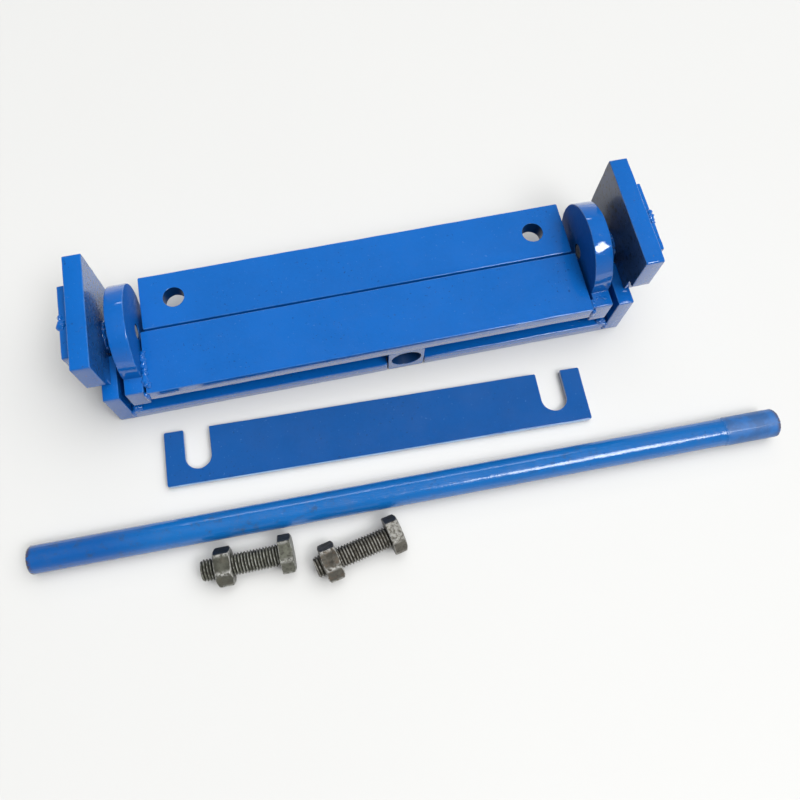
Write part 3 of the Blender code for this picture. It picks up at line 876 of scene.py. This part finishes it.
def lever_surface(count=96):
    """Round bar on a grid of place along it and angle: the radius steps down past the paint collar along a
    ragged line, and is a little uneven everywhere; the ends are chamfered and then flat."""
    half = LEVER_LENGTH / 2
    x = np.unique(np.r_[np.linspace(-half, half, 420), half - SLEEVE + np.linspace(-2.5, 2.5, 31)])
    a = np.linspace(0, 2 * np.pi, count, endpoint=False)
    rag = 0.8 * wander(count, 5)
    past = x[:, None] - (half - SLEEVE) - rag[None]
    step = 1 / (1 + np.exp(-np.clip(past / 0.25, -60, 60)))
    radius = LEVER_R - 0.28 * (1 - step)
    radius = radius + 0.035 * wander(len(x), 6)[:, None] + 0.03 * wander(count, 7)[None]
    from_end = half - np.abs(x)[:, None]
    chamfer = LEVER_CHAMFER * (1 + 0.12 * wander(count, 8)[None])
    radius = np.minimum(radius, LEVER_R - chamfer + from_end)
    radius = np.minimum(radius, LEVER_R)
    y, z = radius * np.cos(a), radius * np.sin(a)
    shell = np.stack([np.repeat(x[:, None], count, 1), y, z + LEVER_R], -1).reshape(-1, 3)
    wear_and_painted_light = np.clip(1 - np.abs(from_end - 1.0) / 2.2, 0, 1) * np.ones((1, count))
    return shell, wear_and_painted_light.ravel(), len(x), count


shell, wear_and_painted_light, rows, count = lever_surface()
faces = capped_faces(rows, count)
smooth = np.r_[np.ones(len(faces) - 2), 0, 0]


def lever_enamel():
    """Enamel of the lever: broken gloss, a matt blotchy collar, a darker left end, brown stains and scuffs in
    bands, and chips through to rust at the ends."""
    mat = enamel("lever_enamel", (0.004, 0.112, 0.375), (0.08, 0.20), 0.4, 4.0, 0.0, 28.0, coat=0.35)
    tree = mat.node_tree
    shader = tree.nodes["Principled BSDF"]
    place = coordinate(tree, "Object", "X")
    collar_from = (LEVER_AT[0] + LEVER_LENGTH / 2 - SLEEVE) * MM
    collar = between(tree, place, collar_from - 0.004, collar_from + 0.004)
    blotch = between(tree, noise(tree, 95.0, 3.0, 0.6, (4, 8, 2)), 0.42, 0.62)
    rough = shader.inputs["Roughness"].links[0].from_socket
    broken = between(tree, noise(tree, 330.0, 3.0, 0.65, (9, 3, 4)), 0.47, 0.60, 0.06, 0.20)
    tree.links.new(larger(tree, larger(tree, rough, broken), times(tree, collar, 0.56)),
                   shader.inputs["Roughness"])
    paint = shader.inputs["Base Color"].links[0].from_socket
    paint = tint(tree, paint, times(tree, times(tree, collar, blotch), 0.55), (0.006, 0.060, 0.190))
    # The left end is darker over its last stretch.
    dark_end_to = (LEVER_AT[0] - LEVER_LENGTH / 2 + DARK_END) * MM
    dark_left_end = between(tree, place, dark_end_to - 0.055, dark_end_to, 0.75, 0.0)
    paint = tint(tree, paint, dark_left_end, (0.003, 0.066, 0.275))
    band = between(tree, noise(tree, 16.0, 3.0, 0.6, (3.1, 0, 0)), 0.46, 0.62)
    scuff = between(tree, noise(tree, 150.0, 5.0, 0.72, (1, 2, 3)), 0.50, 0.68)
    paint = tint(tree, paint, times(tree, times(tree, band, scuff), 0.55), (0.03, 0.06, 0.12))
    smear = between(tree, noise(tree, 45.0, 4.0, 0.7, (6, 2, 5)), 0.56, 0.72, 0.0, 0.20)
    paint = tint(tree, paint, smear, (0.06, 0.09, 0.14))
    chip = between(tree, noise(tree, 380.0, 3.0, 0.6, (7, 7, 1)), 0.40, 0.50)
    paint = tint(tree, paint, times(tree, wear_and_painted_light_of(tree), chip), (0.06, 0.035, 0.025))
    tree.links.new(paint, shader.inputs["Base Color"])
    return mat


new_piece("painted_lever_bar", set_down(shell, LEVER_TURN, *LEVER_AT), faces, smooth, wear_and_painted_light, lever_enamel(),
          "handle", "handle_enamel", ["handle_bar"])


# ---- clamp bolts and nuts --------------------------------------------------------------------------------
# Two M14 x 50 hexagon screws, threaded to the head, each with its nut run most of the way on. Hot-formed,
# with a dull grey oxide skin that shines on the thread crests and on the corners of the hexagons.
FLATS, HEAD, SHANK, NUT = 22.0, 8.8, 50.0, 11.0
THREAD_R, PITCH, THREAD_DEPTH = 6.95, 2.0, 1.15
NUT_HOLE_R = 7.15
BOLTS = {"left": ((-84.1, -157.7), 0.007, 30.2), "right": ((-14.2, -160.2), 0.205, 34.2)}
OXIDE = {"left": (0.094, 0.096, 0.076), "right": (0.104, 0.097, 0.080)}
NUT_GRIME = {"left": 0.4, "right": 0.6}
NUT_RUST = {"left": 0.08, "right": 0.25}


def hexagon_radius(angle, flats):
    """Distance from the axis to a hexagon with slightly rounded corners: the flat's distance over a steep
    power mean of the cosines to its six sides."""
    facing = np.cos(angle[:, None] - np.radians(np.arange(30, 390, 60))[None])
    return flats / 2 / (np.clip(facing, 0, 1) ** 60).sum(1) ** (1 / 60)


def hexagon_shell(low, high, cone_low, cone_high, hole_r, count=120):
    """Hexagon prism whose chosen ends are turned to 30 degree cones: at each angle the profile runs from the
    hole, or the axis, over one face, down the cone, along the flat, and back over the other face."""
    a = np.linspace(0, 2 * np.pi, count, endpoint=False)
    out = hexagon_radius(a, FLATS)
    washer = FLATS / 2 * 0.965
    fall = (out - washer) * math.tan(math.radians(30))
    small = 0.35
    inner = np.full(count, max(hole_r, 0.01))
    rows = [(inner, low), (np.full(count, washer if cone_low else 0) + (0 if cone_low else out - small), low)]
    start = low + (fall if cone_low else small)
    end = high - (fall if cone_high else small)
    rows += [(out - (0.1 if cone_low else 0.0), start), (out, start + small), (out, end - small),
             (out - (0.1 if cone_high else 0.0), end)]
    rows += [(np.full(count, washer) if cone_high else out - small, high), (inner, high)]
    shell = np.stack([np.stack([r * np.cos(a), r * np.sin(a), np.zeros(count) + x], -1) for r, x in rows])
    corner = np.clip((out / (FLATS / 2) - 1.06) / 0.08, 0, 1)
    wear = np.stack([0 * a, 0.3 + 0 * a, 0.9 + 0 * a, corner, corner, 0.9 + 0 * a, 0.3 + 0 * a, 0 * a])
    return shell[..., FACING["x"]].reshape(-1, 3), wear.ravel(), len(rows), count


def thread_shell(low, high, count=64, per_turn=16):
    """Right-hand screw thread: the radius falls from crest to root with the place along the axis less the
    angle's share of a turn, as a 60 degree V with flat crests, and tapers away at the point."""
    x = np.arange(low, high, PITCH / per_turn)
    x = np.append(x, high)
    a = np.linspace(0, 2 * np.pi, count, endpoint=False)
    phase = (x[:, None] / PITCH - a[None] / (2 * np.pi)) % 1.0
    valley = np.clip(np.abs(phase - 0.5) * 2 * 1.35 - 0.16, 0, 1)
    point = np.clip((x - low) / 1.6, 0, 1)[:, None]
    crest = THREAD_R - 1.1 * (1 - point)
    radius = np.minimum(THREAD_R - THREAD_DEPTH * (1 - valley), crest)
    shell = np.stack([np.repeat(x[:, None], count, 1), radius * np.cos(a), radius * np.sin(a)], -1)
    # Crests are marked as worn, and roots -1 so that the steel paints shade in them.
    bright = np.clip((valley - 0.80) / 0.2, 0, 1) - np.clip(1 - valley / 0.55, 0, 1) + np.zeros_like(radius)
    return shell.reshape(-1, 3), bright.ravel(), len(x), count


for side, (spot, turn, along) in BOLTS.items():
    start = 40.0 if side == "left" else 45.0
    head, head_wear_and_sheen, rows, count = hexagon_shell(0.0, HEAD, False, True, 0.0)
    head_faces = capped_faces(rows, count)
    # Painted highlight on the right bolt head: its top flat is marked as worn, so the steel lightens it.
    if side == "right":
        painted_sheen_top = np.abs(np.linspace(0, 360, count, endpoint=False) - 90) < 29
        head_wear_and_sheen = np.maximum(head_wear_and_sheen, 0.75 * np.tile(painted_sheen_top, rows))
    thread, thread_wear, t_rows, t_count = thread_shell(-SHANK, 0.0)
    thread_faces = [face + len(head) for face in capped_faces(t_rows, t_count)]
    verts = np.concatenate([head, thread]) + [0, 0, FLATS / 2]
    faces = head_faces + thread_faces
    smooth = np.r_[np.zeros(len(head_faces)), np.ones(len(thread_faces) - 2), 0, 0]
    bolt_oxide = steel("bolt_oxide_" + side, OXIDE[side], seed=start, grime=0.7, crest_share=0.62, back_shade=0.7)
    new_piece("threaded_bolt_" + side, set_down(verts, turn, *spot), faces, smooth,
              np.r_[head_wear_and_sheen, thread_wear], bolt_oxide, "bolt_" + side, "bolt_steel", ["clamp_bolt_" + side])

    nut, nut_wear, rows, count = hexagon_shell(-along - NUT, -along, True, True, NUT_HOLE_R)
    nut_faces = ring_faces(rows, count)
    nut_oxide = steel("nut_oxide_" + side, shade(OXIDE[side], 0.68), seed=start + 2, grime=NUT_GRIME[side],
                      rust=NUT_RUST[side], back_shade=0.85)
    new_piece("hexagon_nut_" + side, set_down(nut + [0, 0, FLATS / 2], turn, *spot), nut_faces,
              np.zeros(len(nut_faces)), nut_wear, nut_oxide, "nut_" + side, "bolt_steel",
              ["clamp_nut_" + side])
